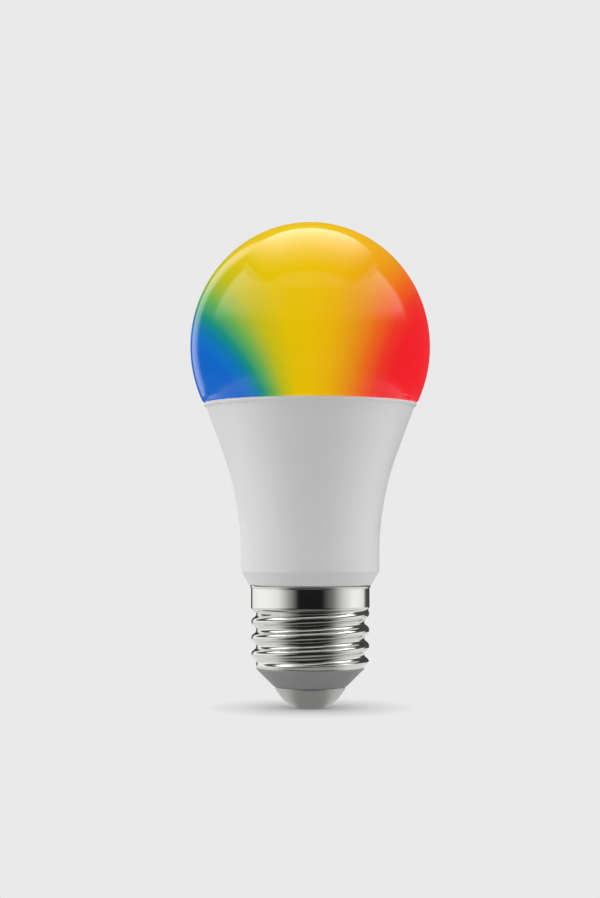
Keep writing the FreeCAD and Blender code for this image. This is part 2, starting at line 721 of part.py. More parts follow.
def save_light_engine():
    """Heat sink, LED board and everything that is on the board."""
    save("heat_sink", heat_sink())
    save("thermal_pad", thermal_pad())
    save("led_board", led_board())
    save("board_screws", *board_screws())
    bodies, cool, warm = white_leds()
    save("white_led_bodies", *bodies)
    save("cool_white_phosphor", *cool)
    save("warm_white_phosphor", *warm)
    bodies, lenses = colour_leds()
    save("colour_led_bodies", *bodies)
    for colour, group in zip(("red", "green", "blue"), lenses):
        save(f"{colour}_led_lenses", *group)
    save("led_current_chips", *[gull_chip(side * 3.4, 8.2, LED_BOARD_TOP, 3.9, 4.9, 1.5, 4)
                                for side in (-1, 1)])
    save("led_board_resistors", *[block(2.6 * i, -5.4, LED_BOARD_TOP, 2.0, 1.25, 0.5)
                                  for i in (-1, 0, 1)])


def save_output_pins():
    """Pins from the driver board up through the heat sink, and the socket that they enter."""
    places = [(i - 1.5) * 1.9 for i in range(4)]
    socket = block(0, PINS_Y, LED_BOARD_TOP, PIN_ROW + 1.6, 3.2, 2.6)
    low = BOARD_TOP - 4
    pins = []
    for x in places:
        socket = socket.cut(block(x, PINS_Y, LED_BOARD_TOP - 1, 0.64, 0.64, 5))
        stem = block(x, PINS_Y, low, 0.64, 0.64, LED_BOARD_TOP + 2.4 - low)
        pins.append(stem.fuse(box(x - 0.32, x + 0.32, PINS_Y, -FACE, low, low + 0.64)).removeSplitter())
    save("led_board_socket", socket)
    save("driver_output_pins", *pins)


def varistor():
    """Coated disc that takes mains surges, on two legs."""
    disc = Part.makeCylinder(3.6, 2.6, V(-3.6, -FACE - 1.0, 22.6), V(0, -1, 0))
    for x in (-5.2, -2.0):
        disc = disc.fuse(box(x - 0.3, x + 0.3, -FACE - 1.6, -FACE, 18.6, 19.2))
        disc = disc.fuse(box(x - 0.3, x + 0.3, -FACE - 1.6, -FACE - 1.0, 18.6, 20.6))
    return disc.removeSplitter()


def save_driver():
    """Driver board and its components, mains side first."""
    save("driver_board", driver_board())
    save("fuse_resistor", axial_part(5.4, -FACE - 2.2, BOARD_BOTTOM + 2.0, 1.6, 8.0))
    save("varistor", varistor())
    save("bridge_rectifier", on_board(gull_chip(0, 0, 0, 3.9, 4.7, 2.2, 2), -1, LEDGE_Z + 4.0))
    y = FACE + 4.3
    low = LEDGE_Z - 9.4
    can, sleeve = capacitor(0, y, low, 4.0, 12.5)
    for x in (-1.3, 1.3):
        can = can.fuse(box(x - 0.25, x + 0.25, y - 0.25, y + 0.25, low - 1.0, low))
        can = can.fuse(box(x - 0.25, x + 0.25, FACE, y + 0.25, low - 1.0, low - 0.5))
    save("input_capacitor_can", can.removeSplitter())
    save("input_capacitor_sleeve", sleeve)
    low = LEDGE_Z + 5.8
    can, sleeve = capacitor(6.0, y, low, 3.9, 11.0)
    can = can.fuse(box(5.75, 6.25, FACE, y, low - 0.8, low - 0.3))
    can = can.fuse(box(5.75, 6.25, y - 0.25, y + 0.25, low - 0.8, low))
    save("output_capacitor_can", can.removeSplitter())
    save("output_capacitor_sleeve", sleeve)
    core, winding = filter_choke()
    save("filter_choke_core", core)
    save("filter_choke_winding", winding)
    core, bobbin, winding = transformer()
    save("transformer_core", core)
    save("transformer_bobbin", bobbin)
    save("transformer_winding", winding)
    save("driver_chip", on_board(gull_chip(0, 0, 0, 3.9, 4.9, 1.5, 4), -1, LEDGE_Z + 24.6))
    save("output_diode", on_board(gull_chip(-8.6, 0, 0, 2.6, 4.3, 2.1, 1), -1, LEDGE_Z + 22.5))
    save("smd_resistors", *[on_board(block(8.6, 0, 0, 2.0, 1.25, 0.5), -1, LEDGE_Z + 4 + 2.4 * i)
                            for i in range(8)])
    save("smd_capacitors", *[on_board(block(-9.0, 0, 0, 2.0, 1.25, 1.0), -1, LEDGE_Z + 4 + 2.6 * i)
                             for i in range(6)])


def save_radio():
    """Radio board that stands up through the LED board, its parts and its pins."""
    save("wifi_board", box(-RADIO_WIDTH / 2, RADIO_WIDTH / 2, RADIO_OFFSET, RADIO_FAR,
                           RADIO_BOTTOM, RADIO_TOP))
    save("wifi_antenna", antenna())
    save("wifi_chip", box(-4.5, 0.5, RADIO_FAR, RADIO_FAR + 0.9, RADIO_BOTTOM + 6, RADIO_BOTTOM + 11))
    save("wifi_crystal", box(2.4, 5.6, RADIO_FAR, RADIO_FAR + 0.7, RADIO_BOTTOM + 7, RADIO_BOTTOM + 9.5))
    save("wifi_pins", *radio_pins())


os.makedirs("parts", exist_ok=True)
save_outside()
save_light_engine()
save_output_pins()
save_driver()
save_radio()
live_wire, neutral_wire = wires()
save("live_wire", live_wire)
save("neutral_wire", neutral_wire)
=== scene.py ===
import json
import logging
import math
from dataclasses import dataclass, field
from enum import Enum
from typing import Any, Callable, Sequence

import bmesh
import bpy
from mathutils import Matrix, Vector

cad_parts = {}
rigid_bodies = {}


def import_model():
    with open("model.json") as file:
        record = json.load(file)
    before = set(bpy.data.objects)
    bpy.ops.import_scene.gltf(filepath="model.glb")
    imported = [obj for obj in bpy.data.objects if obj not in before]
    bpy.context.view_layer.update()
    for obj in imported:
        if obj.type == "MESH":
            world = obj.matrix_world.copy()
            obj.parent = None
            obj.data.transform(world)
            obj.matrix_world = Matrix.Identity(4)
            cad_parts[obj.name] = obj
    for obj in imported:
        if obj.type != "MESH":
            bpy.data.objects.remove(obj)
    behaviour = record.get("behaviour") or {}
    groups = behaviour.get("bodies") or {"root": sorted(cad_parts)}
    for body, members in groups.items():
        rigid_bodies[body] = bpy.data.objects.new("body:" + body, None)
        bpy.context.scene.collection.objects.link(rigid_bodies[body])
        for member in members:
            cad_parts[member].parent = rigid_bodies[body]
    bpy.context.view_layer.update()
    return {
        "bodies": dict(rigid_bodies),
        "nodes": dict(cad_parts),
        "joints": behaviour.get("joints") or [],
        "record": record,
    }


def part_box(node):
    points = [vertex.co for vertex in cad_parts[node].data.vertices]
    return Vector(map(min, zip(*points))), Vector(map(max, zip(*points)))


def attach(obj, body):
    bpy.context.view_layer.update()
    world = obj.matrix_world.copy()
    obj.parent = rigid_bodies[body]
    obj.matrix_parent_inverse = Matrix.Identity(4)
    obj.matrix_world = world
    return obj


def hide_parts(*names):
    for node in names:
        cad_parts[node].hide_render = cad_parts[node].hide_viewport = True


LOG = logging.getLogger("bulb")
MM = 0.001
DOME_RADIUS_MM = 27.0
SEAM_GAP_MM = 0.2            # between the housing's rim and the dome
Point = tuple[float, float]
Colour = tuple[float, float, float, float]


def linear(hex_code: str, alpha: float = 1.0) -> Colour:
    """Turn an sRGB hex value into a linear colour.

    Args:
        hex_code: six hex digits.
        alpha: the fourth channel, kept as it is.

    Returns:
        Red, green, blue and alpha, linear.
    """
    channels = [int(hex_code[i:i + 2], 16) / 255 for i in (0, 2, 4)]
    bent = [c / 12.92 if c <= 0.04045 else ((c + 0.055) / 1.055) ** 2.4 for c in channels]
    return bent[0], bent[1], bent[2], alpha


# ---------------------------------------------------------------- node helper
def add_node(tree: bpy.types.NodeTree, kind: str, settings: dict[str, Any] | None = None,
             links: dict[Any, Any] | None = None) -> bpy.types.Node:
    """Add one node with its settings and links.

    Args:
        tree: the node tree.
        kind: the node's type name after "ShaderNode", such as "TexNoise".
        settings: attribute names or input names and their values.
        links: input name or number to the output socket that feeds it.

    Returns:
        The new node.
    """
    node = tree.nodes.new(f"ShaderNode{kind}")
    for name, value in (settings or {}).items():
        if isinstance(name, str) and hasattr(node, name):
            setattr(node, name, value)
        else:
            node.inputs[name].default_value = value
    for name, socket in (links or {}).items():
        tree.links.new(socket, node.inputs[name])
    return node


def fill_ramp(node: bpy.types.Node, stops: Sequence[tuple[float, Colour]], smooth: bool = False) -> None:
    """Set the stops of a colour ramp.

    Args:
        node: the ramp.
        stops: places from 0 to 1 and their linear colours, in order.
        smooth: ease between the stops, where False is straight.
    """
    ramp = node.color_ramp
    ramp.interpolation = "EASE" if smooth else "LINEAR"
    while len(ramp.elements) < len(stops):
        ramp.elements.new(0.5)
    for element, (place, colour) in zip(ramp.elements, stops):
        element.position = place
        element.color = colour


def new_tree(name: str) -> tuple[bpy.types.Material, bpy.types.NodeTree, bpy.types.Node]:
    """Start a material that has one Principled shader.

    Args:
        name: the material's name.

    Returns:
        The material, its node tree and the shader node.
    """
    material = bpy.data.materials.new(name)
    material.use_nodes = True
    tree = material.node_tree
    shader = next(n for n in tree.nodes if n.type == "BSDF_PRINCIPLED")
    return material, tree, shader


# ---------------------------------------------------------------- finishes
class Grain(Enum):
    """The fine surface pattern that a finish has, and so which texture draws it."""

    MOULDED = "moulded"        # spark-eroded mould: fine even bumps
    DRAWN = "drawn"            # drawn or rolled metal: scratches round the axis
    WOUND = "wound"            # turns of wire lying side by side
    CAST = "cast"              # sintered or fired: coarse pits
    POURED = "poured"          # poured or dipped: slow waves
    WOVEN = "woven"            # laminate: the glass weave under the mask


@dataclass(frozen=True)
class Finish:
    """A finish for one of the bulb's own materials, from typical values for the real one.

    The pattern's scale comes from its real size in millimetres.
    """

    name: str
    hex_code: str
    grain: Grain
    grain_mm: float
    roughness: float
    metallic: float = 0.0
    ior: float = 1.5
    vary: float = 0.06
    bump: float = 0.08
    rough_spread: float = 0.08

    def pattern(self, tree: bpy.types.NodeTree) -> bpy.types.NodeSocket:
        """Add the texture of this finish's grain.

        Args:
            tree: the material's node tree.

        Returns:
            A socket that runs from 0 to 1 over the pattern.
        """
        place = add_node(tree, "TexCoord").outputs["Object"]
        per_metre = 1 / (self.grain_mm * MM)
        if self.grain is Grain.WOUND:
            wave = add_node(tree, "TexWave", {"bands_direction": "Z", "Distortion": 0.4,
                                              "Scale": per_metre / (2 * math.pi), "Detail": 1.0},
                            {"Vector": place})
            return wave.outputs["Fac"]
        if self.grain is Grain.WOVEN:
            weave = add_node(tree, "TexBrick", {"Scale": per_metre, "Color1": (1, 1, 1, 1),
                                                "Color2": (0.7, 0.7, 0.7, 1), "Mortar": (0, 0, 0, 1),
                                                "Mortar Size": 0.06, "Brick Width": 1.0,
                                                "Row Height": 1.0}, {"Vector": place})
            return weave.outputs["Color"]
        stretch = {Grain.DRAWN: (0.25, 0.25, 6.0)}.get(self.grain, (1.0, 1.0, 1.0))
        mapped = add_node(tree, "Mapping", {"Scale": stretch}, {"Vector": place})
        detail = {Grain.POURED: 1.0, Grain.CAST: 6.0}.get(self.grain, 3.0)
        noise = add_node(tree, "TexNoise", {"Scale": per_metre, "Detail": detail, "Roughness": 0.6},
                         {"Vector": mapped.outputs[0]})
        return noise.outputs["Fac"]

    def colour(self, tree: bpy.types.NodeTree, pattern: bpy.types.NodeSocket) -> bpy.types.NodeSocket:
        """Add the colour, which darkens a little in the pattern's low places.

        Args:
            tree: the material's node tree.
            pattern: the grain's socket.

        Returns:
            The colour socket.
        """
        full = linear(self.hex_code)
        dull = tuple(c * (1 - self.vary) for c in full[:3]) + (1.0,)
        ramp = add_node(tree, "ValToRGB", links={0: pattern})
        fill_ramp(ramp, [(0.3, dull), (0.7, full)])
        return ramp.outputs[0]

    def dress(self, tree: bpy.types.NodeTree, shader: bpy.types.Node) -> None:
        """Link colour, roughness and bump to the shader.

        Args:
            tree: the material's node tree.
            shader: the Principled node.
        """
        pattern = self.pattern(tree)
        tree.links.new(self.colour(tree, pattern), shader.inputs["Base Color"])
        low, high = self.roughness - self.rough_spread / 2, self.roughness + self.rough_spread / 2
        rough = add_node(tree, "MapRange", {"To Min": max(low, 0.02), "To Max": min(high, 1.0)},
                         {"Value": pattern})
        tree.links.new(rough.outputs[0], shader.inputs["Roughness"])
        bump = add_node(tree, "Bump", {"Strength": self.bump, "Distance": self.grain_mm * MM},
                        {"Height": pattern})
        tree.links.new(bump.outputs[0], shader.inputs["Normal"])

    def make(self) -> bpy.types.Material:
        """Build the material.

        Returns:
            The finished material.
        """
        material, tree, shader = new_tree(self.name)
        shader.inputs["Metallic"].default_value = self.metallic
        if not self.metallic:
            shader.inputs["IOR"].default_value = self.ior
        self.dress(tree, shader)
        return material


# Polybutylene terephthalate, injection moulded in a finely eroded mould. The eye sees a
# clean cool white with a soft satin sheen and no gloss.
HOUSING_PBT = Finish("white_pbt_moulded", "F5F5F5", Grain.MOULDED, 0.35, 0.42, ior=1.57,
                     vary=0.02, bump=0.05)
# Nickel plate over rolled steel. The eye sees a near mirror with faint scratches that run
# round the cap, where it was spun and screwed.
CAP_NICKEL = Finish("nickel_plate_rolled", "E2E1DE", Grain.DRAWN, 0.30, 0.13, metallic=1.0,
                    vary=0.05, bump=0.012, rough_spread=0.08)
# The same plate on the pressed dish, tumbled dull. The eye sees a light satin grey.
CONTACT_NICKEL = Finish("nickel_plate_tumbled", "C8C7C5", Grain.CAST, 0.25, 0.50, metallic=1.0,
                        vary=0.06, bump=0.04)
# Glass-filled polyamide, moulded. The eye sees a flat middle grey with a dry skin.
INSULATOR_NYLON = Finish("grey_polyamide_moulded", "A6A6A7", Grain.MOULDED, 0.30, 0.62, ior=1.53,
                         vary=0.08, bump=0.10)


@dataclass(frozen=True)
class LitDome:
    """Opal polycarbonate, injection moulded to a gloss, with coloured light in it.

    The eye sees saturated colour that blends round the dome, nearly even from its own light,
    under a clear gloss skin that carries the room's lights.
    """

    name: str = "opal_polycarbonate_lit"
    ior: float = 1.58
    roughness: float = 0.10
    glow: float = 0.80
    skin: float = 0.30
    sheen_level: float = 0.2
    span_mm: float = 27.0
    level_mm: float = 80.0
    left_pull: float = 0.049     # how fast the blue side narrows with height, per mm
    right_pull: float = 0.022
    right_bend: float = 0.035    # how much faster the red side narrows above that level, per mm
    stops: tuple[tuple[float, str], ...] = (
        (-26.0, "0B63C4"), (-22.2, "0C70BE"), (-19.6, "0A78A6"), (-17.0, "158F78"), (-13.6, "62AB50"),
        (-9.1, "C0BA16"), (-4.6, "E2C005"), (0.0, "E9BE06"), (4.4, "EAB30C"), (8.9, "E69714"),
        (13.4, "EA6519"), (16.8, "EB3823"), (20.1, "ED2026"), (26.0, "F21B28"))

    def blend(self, tree: bpy.types.NodeTree) -> bpy.types.NodeSocket:
        """Work out where each point lies along the blend: its X, pulled in with height.

        Args:
            tree: the material's node tree.

        Returns:
            A socket from 0 at the blue end to 1 at the red end.
        """
        place = add_node(tree, "TexCoord").outputs["Object"]
        axes = add_node(tree, "SeparateXYZ", links={0: place}).outputs
        pull = add_node(tree, "MapRange", {"interpolation_type": "SMOOTHSTEP", "From Min": -8 * MM,
                                           "From Max": 8 * MM, "To Min": -self.left_pull / MM,
                                           "To Max": -self.right_pull / MM}, {"Value": axes["X"]})
        rise = add_node(tree, "Math", {"operation": "SUBTRACT", 1: self.level_mm * MM}, {0: axes["Z"]})
        above = add_node(tree, "Math", {"operation": "MAXIMUM", 1: 0.0}, {0: rise.outputs[0]})
        bend = add_node(tree, "Math", {"operation": "POWER", 1: 2.0}, {0: above.outputs[0]})
        right = add_node(tree, "MapRange", {"interpolation_type": "SMOOTHSTEP", "From Min": -8 * MM,
                                            "From Max": 8 * MM, "To Max": self.right_bend / MM},
                         {"Value": axes["X"]})
        rise = add_node(tree, "Math", {"operation": "MULTIPLY_ADD"},
                        {0: bend.outputs[0], 1: right.outputs[0], 2: rise.outputs[0]})
        power = add_node(tree, "Math", {"operation": "MULTIPLY"},
                         {0: pull.outputs[0], 1: rise.outputs[0]})
        grow = add_node(tree, "Math", {"operation": "EXPONENT"}, {0: power.outputs[0]})
        along = add_node(tree, "Math", {"operation": "MULTIPLY"}, {0: axes["X"], 1: grow.outputs[0]})
        span = self.span_mm * MM
        return add_node(tree, "MapRange", {"From Min": -span, "From Max": span},
                        {"Value": along.outputs[0]}).outputs[0]

    def make(self) -> bpy.types.Material:
        """Build the material.

        Returns:
            The finished material.
        """
        material, tree, shader = new_tree(self.name)
        along = self.blend(tree)
        places = [(0.5 + mm / (2 * self.span_mm), linear(code)) for mm, code in self.stops]
        light = add_node(tree, "ValToRGB", links={0: along})
        fill_ramp(light, places)
        skin = add_node(tree, "ValToRGB", links={0: along})
        fill_ramp(skin, [(p, tuple(v * self.skin for v in c[:3]) + (1.0,)) for p, c in places])
        tree.links.new(skin.outputs[0], shader.inputs["Base Color"])
        tree.links.new(light.outputs[0], shader.inputs["Emission Color"])
        shader.inputs["Emission Strength"].default_value = self.glow
        shader.inputs["IOR"].default_value = self.ior
        shader.inputs["Specular IOR Level"].default_value = self.sheen_level
        place = add_node(tree, "TexCoord").outputs["Object"]
        flow = add_node(tree, "TexNoise", {"Scale": 60.0, "Detail": 2.0}, {"Vector": place})
        rough = add_node(tree, "MapRange", {"To Min": self.roughness - 0.03,
                                            "To Max": self.roughness + 0.03},
                         {"Value": flow.outputs["Fac"]})
        tree.links.new(rough.outputs[0], shader.inputs["Roughness"])
        return material


def inner_finishes() -> dict[str, Finish]:
    """The finishes of the pieces inside, by the record's material slot.

    Returns:
        Slot name to finish.
    """
    moulded, drawn, cast, poured = Grain.MOULDED, Grain.DRAWN, Grain.CAST, Grain.POURED
    return {
        # cured silicone: a milky, slightly wet bead
        "sealant": Finish("silicone_poured", "DAD9D4", poured, 2.0, 0.38, ior=1.41),
        # deep-drawn aluminium: bright, with draw marks
        "pressed_aluminium": Finish("aluminium_drawn", "CDD0D2", drawn, 0.5, 0.34, metallic=1.0),
        # zinc oxide paste: dull off-white
        "thermal_compound": Finish("zinc_paste_spread", "CFCFC9", poured, 1.5, 0.75, ior=1.41),
        # white epoxy mask over aluminium: bright and slightly orange-peeled
        "white_solder_mask": Finish("white_mask_screened", "EEEDE8", poured, 0.8, 0.36, ior=1.55),
        # zinc plated steel: bluish bright grey
        "screw_steel": Finish("zinc_plate_on_steel", "BFC2C6", drawn, 0.3, 0.28, metallic=1.0),
        # white reflector resin: chalky
        "led_package": Finish("ppa_resin_moulded", "EFEDE2", moulded, 0.2, 0.48, ior=1.53),
        # phosphor in silicone: yellow gel
        "cool_phosphor": Finish("yellow_phosphor_gel", "E9D85A", poured, 0.4, 0.30, ior=1.41),
        "warm_phosphor": Finish("amber_phosphor_gel", "E8A83A", poured, 0.4, 0.30, ior=1.41),
        # tinted epoxy lenses: glassy
        "red_lens": Finish("red_epoxy_cast", "C8302A", poured, 0.6, 0.10, ior=1.55),
        "green_lens": Finish("green_epoxy_cast", "38A84E", poured, 0.6, 0.10, ior=1.55),
        "blue_lens": Finish("blue_epoxy_cast", "2A57C8", poured, 0.6, 0.10, ior=1.55),
        # transfer-moulded epoxy: near black, dull
        "chip_epoxy": Finish("epoxy_transfer_moulded", "1C1C1E", moulded, 0.15, 0.55, ior=1.55),
        "connector_plastic": Finish("nylon_natural_moulded", "E6E3D8", moulded, 0.3, 0.45, ior=1.53),
        "tinned_copper": Finish("tin_on_copper_dipped", "BDBBB4", poured, 0.5, 0.25, metallic=1.0),
        # glass-epoxy laminate under mask: the weave just shows
        "board_laminate": Finish("green_mask_on_laminate", "24613A", Grain.WOVEN, 0.5, 0.34, ior=1.55),
        "radio_laminate": Finish("blue_mask_on_laminate", "173A5E", Grain.WOVEN, 0.5, 0.34, ior=1.55),
        "resistor_paint": Finish("green_cement_fired", "4F8573", cast, 0.3, 0.60, ior=1.5),
        "varistor_coating": Finish("blue_epoxy_dipped", "23499C", poured, 1.2, 0.30, ior=1.55),
        "capacitor_can": Finish("aluminium_can_drawn", "D0D1D2", drawn, 0.3, 0.30, metallic=1.0),
        "capacitor_sleeve": Finish("pvc_sleeve_shrunk", "1B2030", poured, 1.5, 0.28, ior=1.54),
        # sintered ferrite: charcoal with pits
        "ferrite": Finish("ferrite_sintered", "323234", cast, 0.2, 0.55, ior=1.9),
        # enamelled wire: coppery turns side by side
        "enamelled_copper": Finish("copper_wire_wound", "B4622E", Grain.WOUND, 0.30, 0.26,
                                   metallic=1.0, vary=0.45, bump=0.6),
        "bobbin_plastic": Finish("phenolic_moulded", "262321", moulded, 0.3, 0.42, ior=1.55),
        # polyester tape: yellow and slick, its edges showing as rings
        "winding_tape": Finish("polyester_tape_wrapped", "E0BE3C", Grain.WOUND, 1.1, 0.24,
                               vary=0.15, bump=0.3, ior=1.6),
        "ceramic_chip": Finish("ceramic_fired", "AF8D63", cast, 0.15, 0.42, ior=1.6),
        "gold_trace": Finish("gold_flash_plated", "D9AE5B", drawn, 0.2, 0.22, metallic=1.0),
        "crystal_can": Finish("kovar_lid_plated", "C8C8C4", drawn, 0.2, 0.20, metallic=1.0),
        "live_insulation": Finish("red_pvc_extruded", "B02A22", poured, 0.8, 0.36, ior=1.54),
        "neutral_insulation": Finish("white_pvc_extruded", "E4E3DE", poured, 0.8, 0.36, ior=1.54),
    }


# ---------------------------------------------------------------- mesh helpers
def arc_points(centre: Point, radius: float, start: float, end: float, count: int) -> list[Point]:
    """Points along an arc in the (radius, height) plane.

    Args:
        centre: the arc's centre.
        radius: its radius.
        start: first angle, in radians.
        end: last angle, in radians.
        count: how many steps.

    Returns:
        The points, ends included.
    """
    angles = [start + (end - start) * i / count for i in range(count + 1)]
    return [(centre[0] + radius * math.cos(a), centre[1] + radius * math.sin(a)) for a in angles]


def rounded(corners: Sequence[tuple[float, float, float]], steps: int = 5) -> list[Point]:
    """Turn corners into a closed outline whose corners are rounded.

    Args:
        corners: radius, height and fillet of each corner; a fillet of 0 stays sharp.
        steps: points along each fillet.

    Returns:
        The outline's points.
    """
    points: list[Point] = []
    for i, (r, z, fillet) in enumerate(corners):
        here = Vector((r, z))
        into = here - Vector(corners[i - 1][:2])
        out = Vector(corners[(i + 1) % len(corners)][:2]) - here
        turn = into.angle(out) if into.length and out.length else 0.0
        if not fillet or turn < 1e-3:
            points.append((r, z))
            continue
        cut = min(fillet * math.tan(turn / 2), 0.49 * into.length, 0.49 * out.length)
        first = here - into.normalized() * cut
        last = here + out.normalized() * cut
        for k in range(steps + 1):
            t = k / steps
            bend = first * (1 - t) ** 2 + here * (2 * t * (1 - t)) + last * t ** 2
            points.append((bend.x, bend.y))
    return points


def object_from(name: str, mesh: bmesh.types.BMesh, sharp_degrees: float = 38.0) -> bpy.types.Object:
    """Make an object from a bmesh, shaded smooth except over sharp edges.

    Args:
        name: the object's name.
        mesh: the bmesh, in millimetres; it is freed.
        sharp_degrees: edges that turn more than this stay sharp.

    Returns:
        The new object, in metres.
    """
    bmesh.ops.remove_doubles(mesh, verts=mesh.verts, dist=1e-5)
    bmesh.ops.recalc_face_normals(mesh, faces=mesh.faces)
    bmesh.ops.scale(mesh, vec=(MM, MM, MM), verts=mesh.verts)
    data = bpy.data.meshes.new(name)
    mesh.to_mesh(data)
    mesh.free()
    data.shade_smooth()
    data.set_sharp_from_angle(angle=math.radians(sharp_degrees))
    thing = bpy.data.objects.new(name, data)
    bpy.context.scene.collection.objects.link(thing)
    return thing


def swept_round(name: str, outline_at: Callable[[float], Sequence[Point]], segments: int,
                sharp_degrees: float = 38.0) -> bpy.types.Object:
    """Sweep a closed outline once round the axis; the outline may change with the angle.

    Args:
        name: the object's name.
        outline_at: gives the outline at an angle, always with the same number of points.
        segments: how many steps round.
        sharp_degrees: edges that turn more than this stay sharp.

    Returns:
        The new object.
    """
    mesh = bmesh.new()
    rings = []
    for i in range(segments):
        angle = 2 * math.pi * i / segments
        side, front = math.cos(angle), math.sin(angle)
        rings.append([mesh.verts.new((r * side, r * front, z)) for r, z in outline_at(angle)])
    count = len(rings[0])
    for i in range(segments):
        here, after = rings[i], rings[(i + 1) % segments]
        for k in range(count):
            m = (k + 1) % count
            corners = [here[k], after[k], after[m], here[m]]
            on_axis = [math.hypot(v.co.x, v.co.y) < 1e-6 for v in corners]
            if on_axis[0] and on_axis[3]:
                continue
            if on_axis[0]:
                corners = [here[k], after[m], here[m]]
            elif on_axis[3]:
                corners = [here[k], after[k], here[m]]
            mesh.faces.new(corners)
    return object_from(name, mesh, sharp_degrees)


def lathed(name: str, points: Sequence[Point], segments: int = 192,
           sharp_degrees: float = 38.0) -> bpy.types.Object:
    """Sweep one closed outline round the axis.

    Args:
        name: the object's name.
        points: the outline.
        segments: how many steps round.
        sharp_degrees: edges that turn more than this stay sharp.

    Returns:
        The new object.
    """
    return swept_round(name, lambda _angle: points, segments, sharp_degrees)


def fit(piece: bpy.types.Object, node: str, material: bpy.types.Material) -> None:
    """Put a finished piece in the frame in place of its CAD node.

    Args:
        piece: the Blender piece.
        node: the CAD node that it stands for.
        material: the piece's material.
    """
    piece.data.materials.append(material)
    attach(piece, "root")
    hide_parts(node)
    LOG.info("%s: %d faces, for %s", piece.name, len(piece.data.polygons), node)


def reach_mm(node: str) -> tuple[float, float, float]:
    """Size of a CAD node in millimetres.

    Args:
        node: the node's name.

    Returns:
        Its outer radius, lowest height and highest height.
    """
    low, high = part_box(node)
    return (high.x - low.x) / 2 / MM, low.z / MM, high.z / MM


# ---------------------------------------------------------------- sub-assemblies
@dataclass
class DomeAssembly:
    """The rounded dome: an ellipse of revolution with a wall, a lip and a plug."""

    radius: float
    top: float
    seam: float
    plug_bottom: float
    half_height: float = 28.1
    wall: float = 1.2
    lip: float = 0.35
    plug_inset: float = 3.05      # plug's foot, in from the seam's radius
    steps: int = 72

    def radius_at(self, z: float, inset: float = 0.0) -> float:
        """Radius of the surface at a height, moved in by inset."""
        rise = (z - self.top + self.half_height) / (self.half_height - inset)
        return (self.radius - inset) * math.sqrt(max(0.0, 1 - rise * rise))

    def ellipse(self, inset: float, low: float) -> list[Point]:
        """Points of the dome's curve.

        Args:
            inset: how far the curve is moved in.
            low: the height of its lowest point.

        Returns:
            Points from the lowest one up to the axis.
        """
        across, up = self.radius - inset, self.half_height - inset
        centre = self.top - self.half_height
        start = math.asin((low - centre) / up)
        angles = [start + (math.pi / 2 - start) * i / self.steps for i in range(self.steps + 1)]
        points = [(across * math.cos(a), centre + up * math.sin(a)) for a in angles]
        points[-1] = (0.0, centre + up)
        return points

    def outline(self) -> list[Point]:
        """The closed outline of wall, lip and plug.

        Returns:
            Its points.
        """
        edge = self.radius_at(self.seam)
        plug = edge - self.plug_inset
        outside = self.ellipse(0.0, self.seam + self.lip)
        inside = self.ellipse(self.wall, self.seam + self.wall)
        lip = arc_points((edge - self.lip, self.seam + self.lip), self.lip, 0.0, -math.pi / 2, 6)[1:]
        painted_under_shade = rounded([(edge - 1.7, self.seam, 0.1), (plug, self.plug_bottom, 0.15),
                         (plug - self.wall, self.plug_bottom, 0.15)])
        return outside[::-1] + lip + painted_under_shade + inside

    def build(self) -> None:
        """Make the dome and dress it."""
        piece = lathed("dome", self.outline(), 256, 60.0)
        fit(piece, "diffuser_dome", LitDome().make())


